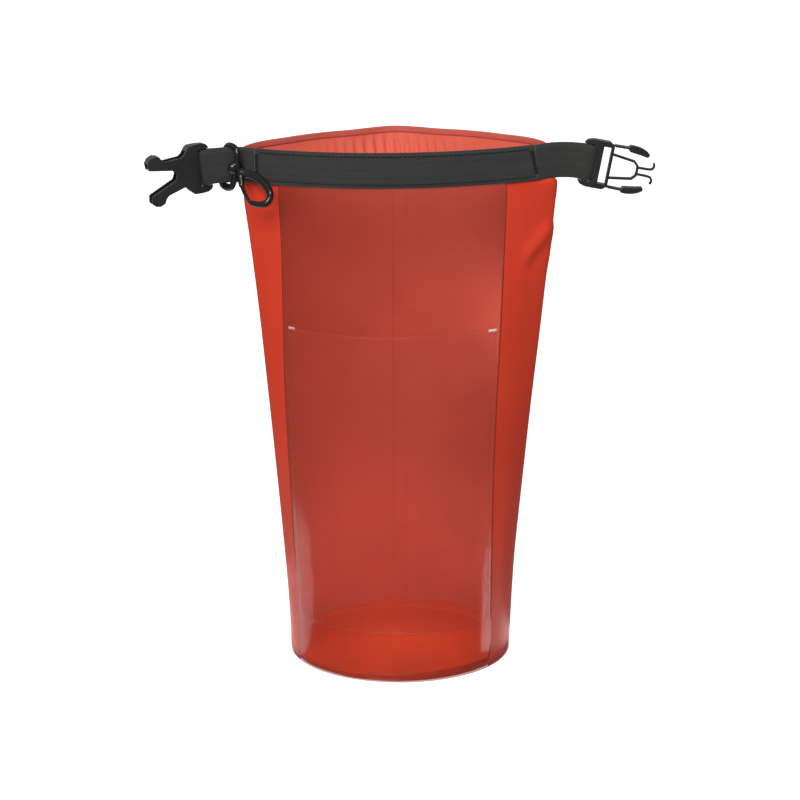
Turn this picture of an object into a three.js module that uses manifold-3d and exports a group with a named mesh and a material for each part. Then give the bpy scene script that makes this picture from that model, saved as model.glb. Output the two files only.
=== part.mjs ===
// A roll-top dry bag of the five litre class, open and standing on its round base.
//
// The body is a coated sheet with a clear front window, welded to a base disc. A clear pocket is welded over the
// window. Black webbing runs along the front of the mouth over a stiffener strip and ends in two sewn loops: the left
// one carries the socket half of a side-release buckle and a swivel snap hook, the right one carries the plug half.
//
// Millimetres, +Z up. The origin is the middle of the base, on the floor. The front of the bag faces -Y.

import * as THREE from "three";
import { mergeVertices } from "three/addons/utils/BufferGeometryUtils.js";
import Module from "manifold-3d";

// ---------------------------------------------------------------- driving dimensions

const HEIGHT = 377.2; // floor to rim
const BASE_RADIUS = 80;
const NECK_Z = 333; // above this the mouth draws in to the rim
const FLARE = 1.27; // how late the mouth's outline takes over from the base circle: 1 would be straight sides
const FORWARD = 11.4; // the side folds of the mouth lie this far in front of the base's middle
const MOUTH = { half: 114.8, front: 27, back: 58.5 }; // half width and the two bows, as the sides run up to them
const RIM = { half: 106.8, front: 29.4, back: 75.7, shift: -4.1, tilt: 0.0155, dip: 9.8 }; // the same at the rim
const FRONT_SHARE = 0.455; // share of the outline in front of the two side folds
const SHEET = 1.2; // thickness of the coated sheet and the window, which straddle the bag's surface
const GAP = 0.3; // clearance between layers that lie on each other

const WINDOW = { from: 0.0455, to: 0.375 }; // shares of the outline, counted from the left fold along the front
const POCKET = { from: 0.06, to: 0.367, low: 37, high: 250, thick: 1.0, bulge: 8 };
const BASE_HEM = { high: 12, thick: 0.9 };
const RIM_HEM = { tall: 4.5, thick: 0.8, gap: 0.45 };
const TAPE = { half: 0.012, thick: 0.6, gap: 0.45, low: 3, high: 345 };

const WEB = { width: 25, thick: 1.5 };
const STIFFENER = { tall: 21, thick: 0.8 };
const THREAD = { wide: 0.8, thick: 0.45, inset: 2.8 };

const FOLD_X = 113.5; // the straps flex about upright lines at the bag's side folds
const STRAP = { start: 1, leftForward: 6, rightForward: 0 }; // gap after the fold line, degrees towards the front
const STRAP_Z = HEIGHT - WEB.width / 2;
const STRAP_PLY = WEB.thick / 2 + GAP / 2 + 0.05; // centre of one webbing layer from the middle of the strap
const BAR = { radius: 1.75, slack: 0.4 }; // a buckle's webbing bar, and the room round it inside the loop

// Each buckle half: length of its strap, droop and turn in degrees, half width and depth.
const SOCKET = { reach: 23.6, droop: 6.5, turn: 14, half: 17.5, deep: 11 };
const PLUG = { reach: 17.8, droop: 10.5, turn: 0, half: 17.1, deep: 8, wall: 15.4 };
const ARM = { pivotX: 16.8, pivotZ: 14.7, deep: 5.2 };
const ROOM = { back: -7, front: 4.1, tall: 26.6 }; // the space for the webbing round a bar

const RING = { at: 7.6, tilt: 8, turn: 52, half: 15.6, back: 5.6, front: 9.2, bar: 4.2 };
const EYE = { radius: 5, half: 3 };
const BALL = { radius: 2.4, shank: 1.3, length: 9.8, room: 0.3 };
const HOOK = { turn: 45.5, droop: 26, neck: 4.4, deep: 5.2, wide: 10, tall: 17, across: 0.6, middle: -24.5 };
const EYELET = { wide: 6.4, tall: 12.2, across: -0.5, middle: -24.3 }; // the opening inside the hook's loop

// ---------------------------------------------------------------- solids and their joining

const wasm = await Module();
wasm.setup();

const DEG = Math.PI / 180;

// A closed three.js geometry as a manifold-3d solid.
function solidOf(geometry) {
  const bare = geometry.clone();
  bare.deleteAttribute("normal");
  bare.deleteAttribute("uv");
  const merged = mergeVertices(bare, 1e-4);
  return new wasm.Manifold(
    new wasm.Mesh({
      numProp: 3,
      vertProperties: new Float32Array(merged.attributes.position.array),
      triVerts: new Uint32Array(merged.index.array),
    }),
  );
}

// A manifold-3d solid as a three.js geometry.
function geometryOf(solid) {
  const mesh = solid.getMesh();
  const position = new Float32Array(mesh.numVert * 3);
  for (let i = 0; i < mesh.numVert; i++) {
    position.set(mesh.vertProperties.subarray(i * mesh.numProp, i * mesh.numProp + 3), i * 3);
  }
  const geometry = new THREE.BufferGeometry();
  geometry.setAttribute("position", new THREE.BufferAttribute(position, 3));
  geometry.setIndex(new THREE.BufferAttribute(new Uint32Array(mesh.triVerts), 1));
  geometry.computeVertexNormals();
  return geometry;
}

// An outline in X and Z, given thickness in Y and centred on it, with rounded edges.
function plate(shape, deep, round = 0, curveSegments = 8) {
  const geometry = new THREE.ExtrudeGeometry(shape, {
    depth: deep - 2 * round,
    bevelEnabled: round > 0,
    bevelThickness: round,
    bevelSize: round,
    bevelOffset: -round,
    bevelSegments: 2,
    curveSegments,
  });
  geometry.translate(0, 0, round - deep / 2);
  return geometry.rotateX(Math.PI / 2);
}

// A side outline in X and Y, given width in Z and centred on it.
function profile(shape, wide) {
  return new THREE.ExtrudeGeometry(shape, { depth: wide, bevelEnabled: false }).translate(0, 0, -wide / 2);
}

function box(x, y, z, lowX, lowY = -y / 2, lowZ = -z / 2) {
  return new THREE.BoxGeometry(x, y, z).translate(lowX + x / 2, lowY + y / 2, lowZ + z / 2);
}

function cylinder(radius, length, sides = 24) {
  return new THREE.CylinderGeometry(radius, radius, length, sides);
}

// A polygon mirrored about the X axis: points run along the upper side from left to right.
function mirrored(points) {
  const upper = points.map(([x, z]) => new THREE.Vector2(x, z));
  const lower = points.map(([x, z]) => new THREE.Vector2(x, -z)).reverse();
  return new THREE.Shape([...lower, ...upper]);
}

// ---------------------------------------------------------------- the bag's surface

const smooth = (x) => THREE.MathUtils.smoothstep(x, 0, 1);
const lerp = THREE.MathUtils.lerp;

// A point of the mouth's outline: two arcs that meet at the side folds. t runs along the front, then the back. The
// back arc sags by dip on both sides of its middle.
function mouthPoint(t, { half, front, back, dip }) {
  const onFront = t < FRONT_SHARE;
  const bow = onFront ? front : back;
  const radius = (half * half + bow * bow) / (2 * bow);
  const most = Math.asin(half / radius);
  const share = onFront ? t / FRONT_SHARE : (1 - t) / (1 - FRONT_SHARE);
  const angle = lerp(-most, most, share);
  const x = radius * Math.sin(angle);
  const out = bow - radius * (1 - Math.cos(angle));
  const aside = Math.abs(x) / half;
  const sag = dip * smooth(aside / 0.35) * smooth((1 - aside) / 0.3);
  return new THREE.Vector2(x, onFront ? -out : out - sag);
}

// A point of the bag's surface: every point of the base circle runs up to its own point of the mouth.
function surfacePoint(turns, z) {
  const t = turns - Math.floor(turns);
  const draw = smooth((z - NECK_Z) / (HEIGHT - NECK_Z));
  const mouth = mouthPoint(t, {
    half: lerp(MOUTH.half, RIM.half, draw),
    front: lerp(MOUTH.front, RIM.front, draw),
    back: lerp(MOUTH.back, RIM.back, draw),
    dip: RIM.dip * draw,
  });
  mouth.x += RIM.shift * draw;
  mouth.y -= FORWARD;
  const angle = (t - FRONT_SHARE / 2) * 2 * Math.PI - Math.PI / 2;
  const base = new THREE.Vector2(Math.cos(angle), Math.sin(angle)).multiplyScalar(BASE_RADIUS);
  return base.lerp(mouth, (z / HEIGHT) ** FLARE);
}

// The same point, moved outwards in its level plane, and raised on the right where the rim tilts.
function offsetPoint(turns, z, out) {
  const reach = 0.004;
  const along = surfacePoint(turns + reach, z).sub(surfacePoint(turns - reach, z)).normalize();
  const point = surfacePoint(turns, z);
  const x = point.x + along.y * out;
  return new THREE.Vector3(x, point.y - along.x * out, z + RIM.tilt * x * smooth((z - NECK_Z) / (HEIGHT - NECK_Z)));
}

// Where the surface is divided. Layers that lie on each other share these stations, so their facets agree.
const frontTurns = Array.from({ length: 30 }, (_, i) => (FRONT_SHARE * i) / 30);
const backTurns = Array.from({ length: 36 }, (_, i) => FRONT_SHARE + ((1 - FRONT_SHARE) * i) / 36);
const TURNS = [0, 1].flatMap((lap) => [...frontTurns, ...backTurns].map((t) => t + lap));
const LEVELS = [12, 30, 60, 100, 150, 200, 250, 295, NECK_Z, 341, 349, 357, 364, 370];

// The ends of a stretch, with the stations that fall well inside it.
function stations(low, high, marks, near) {
  return [low, ...marks.filter((m) => m > low + near && m < high - near), high];
}

// A closed solid between two grids of points with the same columns and rows, the first grid outside.
function shell(outer, inner) {
  const columns = outer.length;
  const rows = outer[0].length;
  const points = [...outer.flat(), ...inner.flat()];
  const index = [];
  const at = (side, c, r) => side * columns * rows + c * rows + r;
  const quad = (a, b, c, d) => index.push(a, b, c, a, c, d);
  for (let c = 0; c < columns - 1; c++) {
    for (let r = 0; r < rows - 1; r++) {
      quad(at(0, c, r), at(0, c + 1, r), at(0, c + 1, r + 1), at(0, c, r + 1));
      quad(at(1, c, r), at(1, c, r + 1), at(1, c + 1, r + 1), at(1, c + 1, r));
    }
    quad(at(0, c + 1, 0), at(0, c, 0), at(1, c, 0), at(1, c + 1, 0));
    quad(at(0, c, rows - 1), at(0, c + 1, rows - 1), at(1, c + 1, rows - 1), at(1, c, rows - 1));
  }
  for (let r = 0; r < rows - 1; r++) {
    quad(at(0, 0, r), at(0, 0, r + 1), at(1, 0, r + 1), at(1, 0, r));
    quad(at(0, columns - 1, r + 1), at(0, columns - 1, r), at(1, columns - 1, r), at(1, columns - 1, r + 1));
  }
  const geometry = new THREE.BufferGeometry().setFromPoints(points);
  geometry.setIndex(index);
  geometry.computeVertexNormals();
  return geometry;
}

// A layer of the bag: a stretch of the outline and of the height, between two offsets. bulge lifts its middle.
function layer({ from, to, low, high, inner, outer, marks = LEVELS, bulge = () => 0 }) {
  const turns = stations(from, to, TURNS, 0.002);
  const levels = stations(low, high, marks, 1);
  const grid = (out) =>
    turns.map((t) => levels.map((z) => offsetPoint(t, z, out + bulge((t - from) / (to - from), (z - low) / (high - low)))));
  return shell(grid(outer), grid(inner));
}

// ---------------------------------------------------------------- materials

const finish = (color, roughness, more = {}) => new THREE.MeshStandardMaterial({ color, roughness, ...more });
const RED = finish(0xc8432f, 0.42);
const RED_TAPE = finish(0xb23a2c, 0.5);
const CLEAR_RED = finish(0xb04038, 0.15, { transparent: true, opacity: 0.55 });
const CLEAR = finish(0xf0e6e4, 0.08, { transparent: true, opacity: 0.2 });
const WEBBING = finish(0x3b3a38, 0.85);
const BLACK = finish(0x2e2e2d, 0.38);
const THREAD_BLACK = finish(0x1c1b1a, 0.7);
const STRIP = finish(0xd8d6d0, 0.5);

const bag = new THREE.Group();

function add(name, geometry, material, parent = bag) {
  const mesh = new THREE.Mesh(geometry, material);
  mesh.name = name;
  parent.add(mesh);
  return mesh;
}

// ---------------------------------------------------------------- body, base, window and pocket

function makeBody() {
  const skin = { inner: -SHEET / 2, outer: SHEET / 2, low: 0.4 };
  const cut = 0.0008; // half the butt gap at the window's two seams, as a share of the outline
  add("body_sheet", layer({ ...skin, from: WINDOW.to + cut, to: 1 + WINDOW.from - cut, high: HEIGHT - 0.5 }), RED);
  add("front_window", layer({ ...skin, from: WINDOW.from + cut, to: WINDOW.to - cut, high: HEIGHT - 0.5 }), CLEAR_RED);

  const discRadius = BASE_RADIUS - SHEET / 2 - GAP;
  add("base_disc", cylinder(discRadius, 1.5, 64).rotateX(Math.PI / 2).translate(0, 0, 0.75), RED);
  const hem = { from: 0, inner: SHEET / 2 + GAP, outer: SHEET / 2 + GAP + BASE_HEM.thick, low: 0.4, high: BASE_HEM.high };
  add("base_hem", layer({ ...hem, to: 0.997 }), RED);

  const inside = { inner: -SHEET / 2 - TAPE.gap - TAPE.thick, outer: -SHEET / 2 - TAPE.gap };
  for (const [name, middle, high] of [
    ["window_tape_left", WINDOW.from, TAPE.high],
    ["window_tape_right", WINDOW.to, TAPE.high],
    ["back_seam_tape", (1 + FRONT_SHARE) / 2, TAPE.high],
  ]) {
    const strip = { from: middle - TAPE.half, to: middle + TAPE.half, low: TAPE.low, high };
    add(name, layer({ ...inside, ...strip }), RED_TAPE);
  }
  const hemInside = { inner: -SHEET / 2 - RIM_HEM.gap - RIM_HEM.thick, outer: -SHEET / 2 - RIM_HEM.gap };
  const rim = { from: FRONT_SHARE + 0.012, to: 0.988, low: HEIGHT - RIM_HEM.tall, high: HEIGHT - 0.5 };
  add("rim_hem", layer({ ...hemInside, ...rim }), RED_TAPE);
}

function makePocket() {
  const inner = SHEET / 2 + GAP;
  const swell = (across, up) => POCKET.bulge * Math.sin(Math.PI * across) * Math.sin((Math.PI / 2) * smooth(up * 1.6));
  const marks = Array.from({ length: 9 }, (_, i) => lerp(POCKET.low, POCKET.high, (i + 1) / 10));
  const size = { from: POCKET.from, to: POCKET.to, low: POCKET.low, high: POCKET.high, marks };
  add("pocket_sheet", layer({ ...size, inner, outer: inner + POCKET.thick, bulge: swell }), CLEAR);
}

// ---------------------------------------------------------------- webbing along the mouth

function makeBand() {
  const onSkin = SHEET / 2 + GAP;
  const bandInner = onSkin + STIFFENER.thick + GAP;
  const bandOuter = bandInner + WEB.thick;
  const strip = { from: 0.03, to: FRONT_SHARE - 0.03, low: HEIGHT - 2 - STIFFENER.tall, high: HEIGHT - 2 };
  add("front_stiffener", layer({ ...strip, inner: onSkin, outer: onSkin + STIFFENER.thick }), STRIP);
  const band = { from: 0.008, to: FRONT_SHARE - 0.008, low: HEIGHT - WEB.width, high: HEIGHT };
  add("front_band", layer({ ...band, inner: bandInner, outer: bandOuter }), WEBBING);

  const row = { from: 0.03, to: FRONT_SHARE - 0.03, inner: bandOuter + GAP, outer: bandOuter + GAP + THREAD.thick };
  for (const [name, z] of [
    ["band_stitch_top", HEIGHT - THREAD.inset],
    ["band_stitch_bottom", HEIGHT - WEB.width + THREAD.inset],
  ]) {
    const seam = { low: z - THREAD.wide / 2, high: z + THREAD.wide / 2 };
    add(name, layer({ ...row, ...seam }), THREAD_BLACK);
  }
  for (const [name, t] of [
    ["band_bartack_left", 0.0195],
    ["band_bartack_right", FRONT_SHARE - 0.0195],
  ]) {
    const tack = { from: t - 0.0035, to: t + 0.0035, low: HEIGHT - WEB.width + 4.5, high: HEIGHT - 4.5 };
    add(name, layer({ ...row, ...tack }), THREAD_BLACK);
  }
}

// ---------------------------------------------------------------- strap loops

// A strap's own frame: origin on its fold line, X along it away from the bag, Y towards the back.
// side is -1 for the left strap and +1 for the right one.
function strapFrame(side, forward) {
  const frame = new THREE.Group();
  const along = new THREE.Vector3(side * Math.cos(forward * DEG), -Math.sin(forward * DEG), 0);
  const up = new THREE.Vector3(0, 0, side);
  const across = new THREE.Vector3().crossVectors(up, along);
  frame.quaternion.setFromRotationMatrix(new THREE.Matrix4().makeBasis(along, across, up));
  frame.position.set(side * FOLD_X, -FORWARD, STRAP_Z + side * RIM.tilt * FOLD_X);
  return frame;
}

// A strap eases from level into its buckle's droop: how far it has turned and dropped at a place along it.
function strapBend(x, { reach, lean }) {
  const share = (x - STRAP.start) / reach;
  const turned = Math.min(share, 1);
  return {
    slant: lean * DEG * smooth(share),
    drop: reach * Math.tan(lean * DEG) * (turned ** 3 - turned ** 4 / 2 + Math.max(share - 1, 0)),
  };
}

// The webbing goes out, round the bar and back.
function strapLoop(bend) {
  const turnRadius = BAR.radius + BAR.slack + WEB.thick / 2;
  const bar = STRAP.start + bend.reach;
  const spread = (x) => lerp(STRAP_PLY, turnRadius, smooth((x - bar + 11) / 11));
  const legSteps = 10;
  const turnSteps = 10;
  const line = [];
  for (let i = 0; i < legSteps; i++) {
    const x = lerp(STRAP.start, bar, i / legSteps);
    line.push([x, spread(x)]);
  }
  for (let i = 0; i <= turnSteps; i++) {
    const angle = Math.PI / 2 - (Math.PI * i) / turnSteps;
    line.push([bar + turnRadius * Math.cos(angle), turnRadius * Math.sin(angle)]);
  }
  for (let i = legSteps - 1; i >= 0; i--) {
    const x = lerp(STRAP.start, bar, i / legSteps);
    line.push([x, -spread(x)]);
  }
  const path = line.map(([x, y]) => new THREE.Vector2(x, y));
  const grid = (side) =>
    path.map((point, i) => {
      const before = path[Math.max(i - 1, 0)];
      const after = path[Math.min(i + 1, path.length - 1)];
      const along = after.clone().sub(before).normalize();
      const out = (side * WEB.thick) / 2;
      const { slant, drop } = strapBend(point.x, bend);
      return [-1, 0, 1].map((edge) => {
        const high = (edge * WEB.width) / 2;
        const x = point.x - along.y * out - high * Math.sin(slant);
        return new THREE.Vector3(x, point.y + along.x * out, drop + high * Math.cos(slant));
      });
    });
  return shell(grid(-1), grid(1));
}

// A buckle half's frame on a strap: origin on its webbing bar, X towards its free end, Z along the bar. It droops in
// the strap's own plane and then turns about its bar towards the front of the bag.
function buckleFrame(strap, bend, turn) {
  const end = STRAP.start + bend.reach;
  const frame = new THREE.Group();
  frame.position.set(end, 0, strapBend(end, bend).drop).applyQuaternion(strap.quaternion).add(strap.position);
  frame.quaternion.copy(strap.quaternion);
  frame.rotateY(-bend.lean * DEG);
  frame.rotateZ(-turn * DEG);
  return frame;
}

// ---------------------------------------------------------------- buckle halves

// The socket half: two forked plates joined by side walls, open at its mouth and at both release notches.
function socketShell() {
  const { half, deep } = SOCKET;
  const outline = mirrored([
    [-4.7, 13.6], [-3.5, 15.8], [-0.7, half - 0.3], [3.4, half], [9.9, half - 0.4], [11.7, half - 2], [14.1, 12],
    [16.4, 10.6], [27.6, 12], [29.6, 13.6], [31, 16.6], [34.1, half + 0.3], [37.5, half - 0.6], [39.8, 14.2],
    [39.3, 9.2], [21.9, 3.6], [20.3, 0.6],
  ]);
  const side = mirrored([[-4.9, 1.8], [-1.8, 3], [2.6, 3.6], [7, 5], [12, deep / 2], [33, deep / 2], [40.2, deep / 2 - 1]]);
  const strapRoom = box(ROOM.front - ROOM.back, 20, ROOM.tall, ROOM.back);
  const cavity = box(42, 6.8, 28.2, 6.9);
  const solid = solidOf(plate(outline, deep + 1, 1))
    .intersect(solidOf(profile(side, 60)))
    .subtract(solidOf(strapRoom))
    .subtract(solidOf(cavity))
    .add(solidOf(cylinder(BAR.radius, 28, 20).rotateX(Math.PI / 2)));
  return geometryOf(solid);
}

// The plug half's frame: webbing bar, cross bar, front wall, and the guide with its two curled fingers.
function plugFrame() {
  const { half, deep, wall } = PLUG;
  const outline = mirrored([
    [-5, 13.6], [-3.4, 15.8], [0, half - 0.2], [2, half], [12.6, half - 0.1], [14, half - 0.8], [wall + 1, half - 3],
  ]);
  const side = mirrored([[-5.2, 1.8], [-1, 2.8], [4, 3.4], [8, deep / 2], [12.2, deep / 2], [wall + 1.2, deep / 2 - 1.3]]);
  const strapRoom = box(ROOM.front - ROOM.back, 20, ROOM.tall, ROOM.back);
  const slotStart = 8.9;
  const secondSlot = box(wall - 0.9 - slotStart, 20, ROOM.tall, slotStart);
  const guide = new THREE.Shape().setFromPoints(
    [[wall, -9.4], [32.4, -7], [35.4, -4], [36, 0], [35.4, 4], [32.4, 7], [wall, 9.4]].map(
      ([x, z]) => new THREE.Vector2(x, z),
    ),
  );
  guide.holes.push(
    new THREE.Path(
      [[wall + 0.9, -7.7], [31.7, -5.5], [34, -3.1], [34.3, 0], [34, 3.1], [31.7, 5.5], [wall + 0.9, 7.7]].map(
        ([x, z]) => new THREE.Vector2(x, z),
      ),
    ),
  );
  let solid = solidOf(plate(outline, deep + 1, 0.9))
    .intersect(solidOf(profile(side, 60)))
    .subtract(solidOf(strapRoom))
    .subtract(solidOf(secondSlot))
    .add(solidOf(cylinder(BAR.radius, 28, 20).rotateX(Math.PI / 2)))
    .add(solidOf(plate(guide, 3.2)));
  for (const way of [-1, 1]) {
    solid = solid.add(solidOf(finger(way)));
  }
  return geometryOf(solid);
}

// One curled finger at the end of the plug's guide, a flat bar along a curve.
function finger(way) {
  const line = new THREE.CatmullRomCurve3(
    [[34.9, 2.3], [38.6, 2.4], [42.6, 2.5], [45.4, 3.2], [46.4, 5.2], [45.8, 7.6]].map(([x, z]) => new THREE.Vector3(x, 0, way * z)),
  );
  const section = new THREE.Shape();
  section.moveTo(-0.75, -1.4).lineTo(0.75, -1.4).lineTo(0.75, 1.4).lineTo(-0.75, 1.4).closePath();
  const steps = 14;
  const grid = (side) =>
    Array.from({ length: steps + 1 }, (_, i) => {
      const at = line.getPoint(i / steps);
      const along = line.getTangent(i / steps);
      const across = new THREE.Vector3(-along.z, 0, along.x).multiplyScalar(0.75 * side * way);
      return [-1.4, 1.4].map((y) => at.clone().add(across).setY(y * way));
    });
  return shell(grid(1), grid(-1));
}

// One squeeze arm of the plug, with its barbed grip. way is +1 for the upper one.
function squeezeArm(way) {
  const shape = new THREE.Shape();
  shape.moveTo(ARM.pivotX, 14);
  shape.lineTo(26.2, 14.2);
  shape.lineTo(27.4, 12.6);
  shape.bezierCurveTo(31, 12, 36, 11.6, 40.2, 10.6);
  shape.quadraticCurveTo(42.2, 11.4, 41.6, 13.2);
  shape.bezierCurveTo(38.4, 16.2, 33, 17.6, 27, 17.2);
  shape.lineTo(25.8, 15.9);
  shape.lineTo(ARM.pivotX, 15.7);
  const geometry = plate(shape, ARM.deep, 0.5, 6);
  return way > 0 ? geometry : geometryOf(solidOf(geometry).mirror([0, 0, 1]));
}

function makeStraps() {
  const left = strapFrame(-1, STRAP.leftForward);
  const right = strapFrame(1, STRAP.rightForward);
  bag.add(left, right);
  const leftBend = { reach: SOCKET.reach, lean: SOCKET.droop };
  const rightBend = { reach: PLUG.reach, lean: -PLUG.droop };
  add("strap_left", strapLoop(leftBend), WEBBING, left);
  add("strap_right", strapLoop(rightBend), WEBBING, right);

  const socket = buckleFrame(left, leftBend, SOCKET.turn);
  const plug = buckleFrame(right, rightBend, PLUG.turn);
  bag.add(socket, plug);
  add("buckle_socket", socketShell(), BLACK, socket);
  add("buckle_plug", plugFrame(), BLACK, plug);
  add("plug_arm_upper", squeezeArm(1), BLACK, plug);
  add("plug_arm_lower", squeezeArm(-1), BLACK, plug);
  return { left, socket, plug };
}

// ---------------------------------------------------------------- swivel snap hook

// The ring round the left strap, with the ball socket in its front bar. X is the way the socket points.
function hookRing() {
  const { half, back, front, bar } = RING;
  const corner = 4;
  const outline = (grow) => {
    const path = new THREE.Shape();
    const [x0, x1, z] = [-back - grow, front + grow, half + grow];
    const r = corner + grow;
    path.moveTo(x0 + r, -z).lineTo(x1 - r, -z).absarc(x1 - r, r - z, r, -Math.PI / 2, 0, false);
    path.lineTo(x1, z - r).absarc(x1 - r, z - r, r, 0, Math.PI / 2, false);
    path.lineTo(x0 + r, z).absarc(x0 + r, z - r, r, Math.PI / 2, Math.PI, false);
    path.lineTo(x0, r - z).absarc(x0 + r, r - z, r, Math.PI, 1.5 * Math.PI, false);
    return path;
  };
  const frame = outline(bar / 2);
  frame.holes.push(outline(-bar / 2));
  const room = BALL.radius + BALL.room;
  const boss = cylinder(EYE.radius, 2 * EYE.half, 20).rotateZ(Math.PI / 2).translate(front, 0, 0);
  const hollow = new THREE.SphereGeometry(room, 18, 12).translate(front, 0, 0);
  const mouth = new THREE.CylinderGeometry(3.8, 2.2, 2.6, 18).rotateZ(-Math.PI / 2).translate(front + 1.9, 0, 0);
  const backMouth = cylinder(1.4, 5, 12).rotateZ(Math.PI / 2).translate(front - 2.5, 0, 0);
  const solid = solidOf(plate(frame, bar, 1.3, 3))
    .add(solidOf(boss))
    .subtract(solidOf(hollow))
    .subtract(solidOf(mouth))
    .subtract(solidOf(backMouth));
  return geometryOf(solid);
}

// The ball-ended stud that the hook turns on: ball at the origin, shank along -Z.
function ballStud() {
  const points = [new THREE.Vector2(0, BALL.radius)];
  const steps = 12;
  for (let i = 1; i <= steps; i++) {
    const angle = (Math.PI * i) / steps;
    const r = BALL.radius * Math.sin(angle);
    if (angle > Math.PI / 2 && r < BALL.shank) {
      break;
    }
    points.push(new THREE.Vector2(r, BALL.radius * Math.cos(angle)));
  }
  points.push(new THREE.Vector2(BALL.shank, -2.1));
  points.push(new THREE.Vector2(BALL.shank, -BALL.length));
  points.push(new THREE.Vector2(0, -BALL.length));
  return new THREE.LatheGeometry(points.reverse(), 20).rotateX(Math.PI / 2);
}

function ellipseShape(x, z, wide, tall) {
  const shape = new THREE.Shape();
  shape.absellipse(x, z, wide, tall, 0, 2 * Math.PI, false);
  return shape;
}

// The hook's loop, thick on one side and thin on the side of the gate.
function hookLoop(deep, round) {
  const shape = ellipseShape(HOOK.across, HOOK.middle, HOOK.wide, HOOK.tall);
  shape.holes.push(ellipseShape(EYELET.across, EYELET.middle, EYELET.wide, EYELET.tall));
  return solidOf(plate(shape, deep, round, 14));
}

const GATE = { low: HOOK.middle - 6, high: HOOK.middle + 12, topGap: 0.9, endGap: 0.8 };

function hookBody() {
  const opening = box(12, 12, GATE.high - GATE.low, -15, -6, GATE.low);
  const neck = new THREE.CylinderGeometry(3.1, HOOK.neck, 5, 24).rotateX(Math.PI / 2).translate(0, 0, -8.3);
  const bore = cylinder(BALL.shank + 0.35, 7, 20).rotateX(Math.PI / 2).translate(0, 0, -6.7);
  const solid = hookLoop(HOOK.deep, 1.1)
    .subtract(solidOf(opening))
    .add(solidOf(neck))
    .subtract(solidOf(bore));
  return geometryOf(solid);
}

function hookGate() {
  const tall = GATE.high - GATE.low - GATE.topGap - GATE.endGap;
  const keep = box(12, 12, tall, -15, -6, GATE.low + GATE.endGap);
  return geometryOf(hookLoop(HOOK.deep - 1.4, 0.5).intersect(solidOf(keep)));
}

function makeHook(strap) {
  const ring = new THREE.Group();
  const up = new THREE.Vector3(Math.sin(RING.tilt * DEG), 0, Math.cos(RING.tilt * DEG));
  const right = new THREE.Vector3(Math.cos(RING.tilt * DEG), 0, -Math.sin(RING.tilt * DEG));
  const point = right.multiplyScalar(Math.cos(RING.turn * DEG)).add(new THREE.Vector3(0, -Math.sin(RING.turn * DEG), 0));
  ring.quaternion.setFromRotationMatrix(new THREE.Matrix4().makeBasis(point, up.clone().cross(point), up));
  ring.position.copy(new THREE.Vector3(RING.at, 0, 0).applyQuaternion(strap.quaternion).add(strap.position));
  bag.add(ring);
  add("hook_ring", hookRing(), BLACK, ring);

  // The hook hangs forwards and down from the ring, turned so that its flat side faces the front of the bag.
  const level = new THREE.Vector3(Math.cos(HOOK.turn * DEG), -Math.sin(HOOK.turn * DEG), 0);
  const down = level.clone().multiplyScalar(Math.cos(HOOK.droop * DEG)).setZ(-Math.sin(HOOK.droop * DEG));
  const hang = down.clone().negate();
  const flat = new THREE.Vector3(0, 0.96, -0.27).projectOnPlane(hang).normalize();
  const hook = new THREE.Group();
  hook.quaternion.setFromRotationMatrix(new THREE.Matrix4().makeBasis(flat.clone().cross(hang), flat, hang));
  hook.position.copy(ring.position).addScaledVector(point, RING.front);
  bag.add(hook);
  add("swivel_stud", ballStud(), BLACK, hook);
  add("hook_body", hookBody(), BLACK, hook);
  add("hook_gate", hookGate(), BLACK, hook);
  return { ring, hook };
}

// ---------------------------------------------------------------- the whole bag

makeBody();
makePocket();
makeBand();
const straps = makeStraps();
makeHook(straps.left);

export default bag;
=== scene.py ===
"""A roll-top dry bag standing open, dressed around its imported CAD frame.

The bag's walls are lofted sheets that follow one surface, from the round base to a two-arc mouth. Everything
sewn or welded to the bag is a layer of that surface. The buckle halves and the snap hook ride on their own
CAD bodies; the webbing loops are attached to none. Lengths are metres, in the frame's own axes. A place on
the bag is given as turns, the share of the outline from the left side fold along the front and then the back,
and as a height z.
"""

import math

import bpy
from mathutils import Matrix, Vector, noise


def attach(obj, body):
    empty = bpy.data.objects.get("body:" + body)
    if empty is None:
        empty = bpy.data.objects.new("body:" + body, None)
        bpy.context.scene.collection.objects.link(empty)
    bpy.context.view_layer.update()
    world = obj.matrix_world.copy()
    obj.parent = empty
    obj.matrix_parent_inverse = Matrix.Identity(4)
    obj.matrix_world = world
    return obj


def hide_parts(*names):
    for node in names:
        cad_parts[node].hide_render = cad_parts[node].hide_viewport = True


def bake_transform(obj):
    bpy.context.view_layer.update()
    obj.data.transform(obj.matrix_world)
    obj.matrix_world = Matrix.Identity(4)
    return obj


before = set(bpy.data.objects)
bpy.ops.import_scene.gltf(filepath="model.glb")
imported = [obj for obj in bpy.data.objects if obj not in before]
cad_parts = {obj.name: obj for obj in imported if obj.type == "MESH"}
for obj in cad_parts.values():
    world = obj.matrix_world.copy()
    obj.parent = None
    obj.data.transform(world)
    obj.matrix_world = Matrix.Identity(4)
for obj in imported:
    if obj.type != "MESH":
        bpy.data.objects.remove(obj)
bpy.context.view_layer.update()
MM = 0.001

# ---------------------------------------------------------------- driving dimensions

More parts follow.
